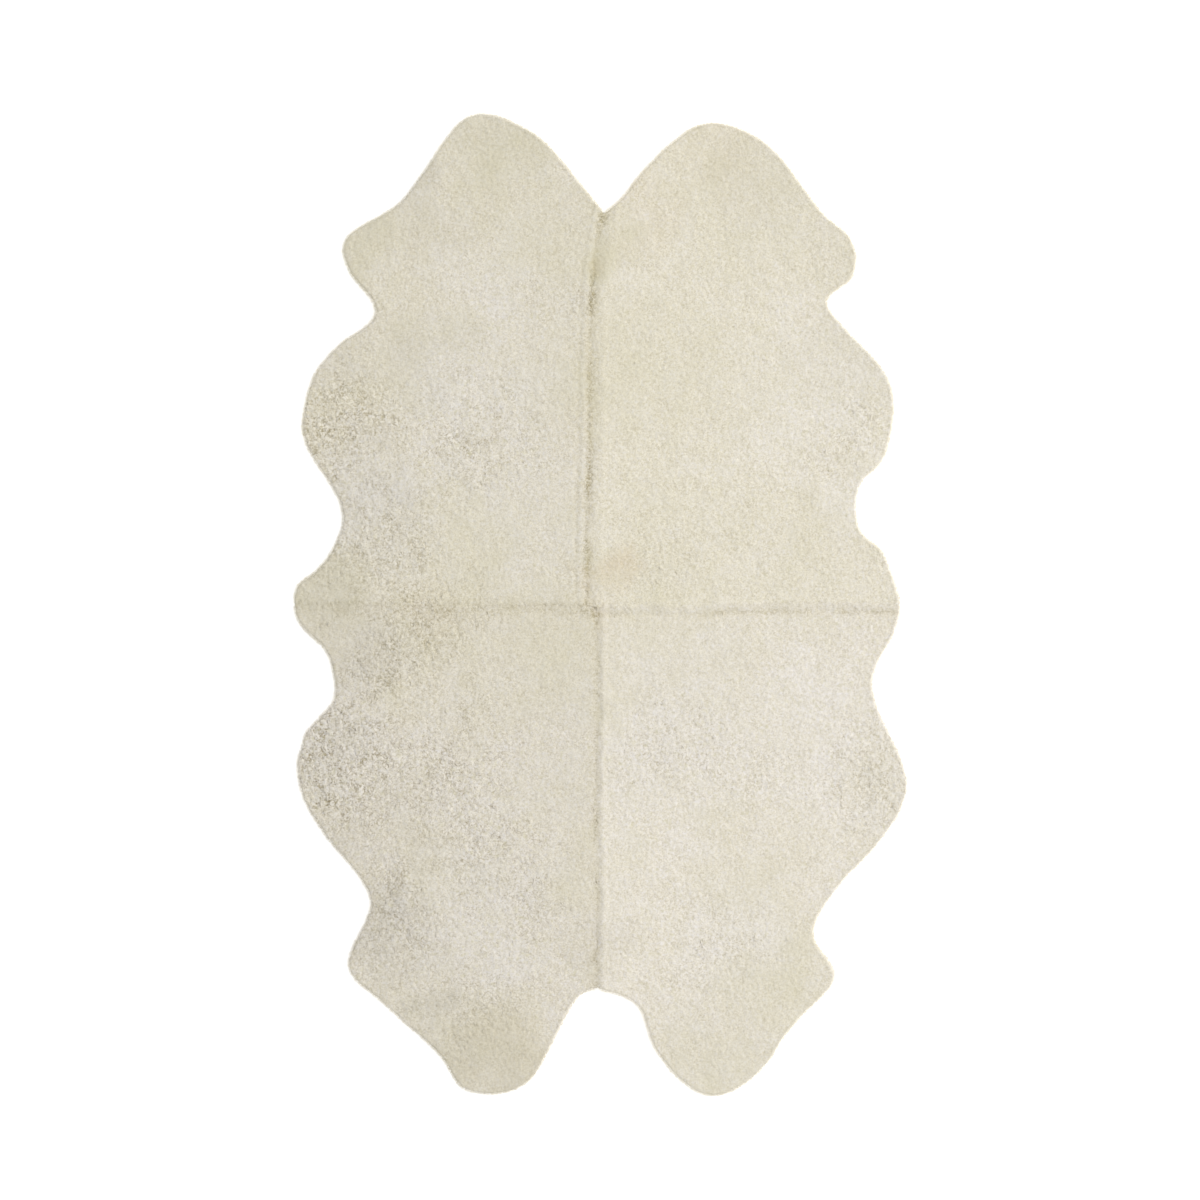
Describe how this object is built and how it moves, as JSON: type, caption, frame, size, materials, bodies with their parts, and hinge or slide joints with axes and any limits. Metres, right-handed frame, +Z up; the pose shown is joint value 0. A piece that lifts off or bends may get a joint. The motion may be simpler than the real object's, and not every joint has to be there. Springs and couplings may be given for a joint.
{
  "type": "sheepskin rug",
  "caption": "Sheepskin rug of sewn pelts with the natural uneven outline, lying flat with its shorn curly cream wool up.",
  "frame": {"origin": "on the floor, under the middle of the rug's box", "axes": "+X to the right and +Y towards the necks of the upper pelts, seen from above; +Z up, out of the wool"},
  "size_m": [1.1422, 1.832, 0.03],
  "materials": {
    "wool_upper_left": "matte curly wool, greyish cream",
    "wool_upper_right": "matte curly wool, warm cream",
    "wool_lower_left": "matte curly wool, greyish cream",
    "wool_lower_right": "matte curly wool, pale cream"
  },
  "bodies": {
    "root": {"pelt_upper_left": "wool_upper_left", "pelt_upper_right": "wool_upper_right", "pelt_lower_left": "wool_lower_left", "pelt_lower_right": "wool_lower_right"}
  },
  "joints": []
}
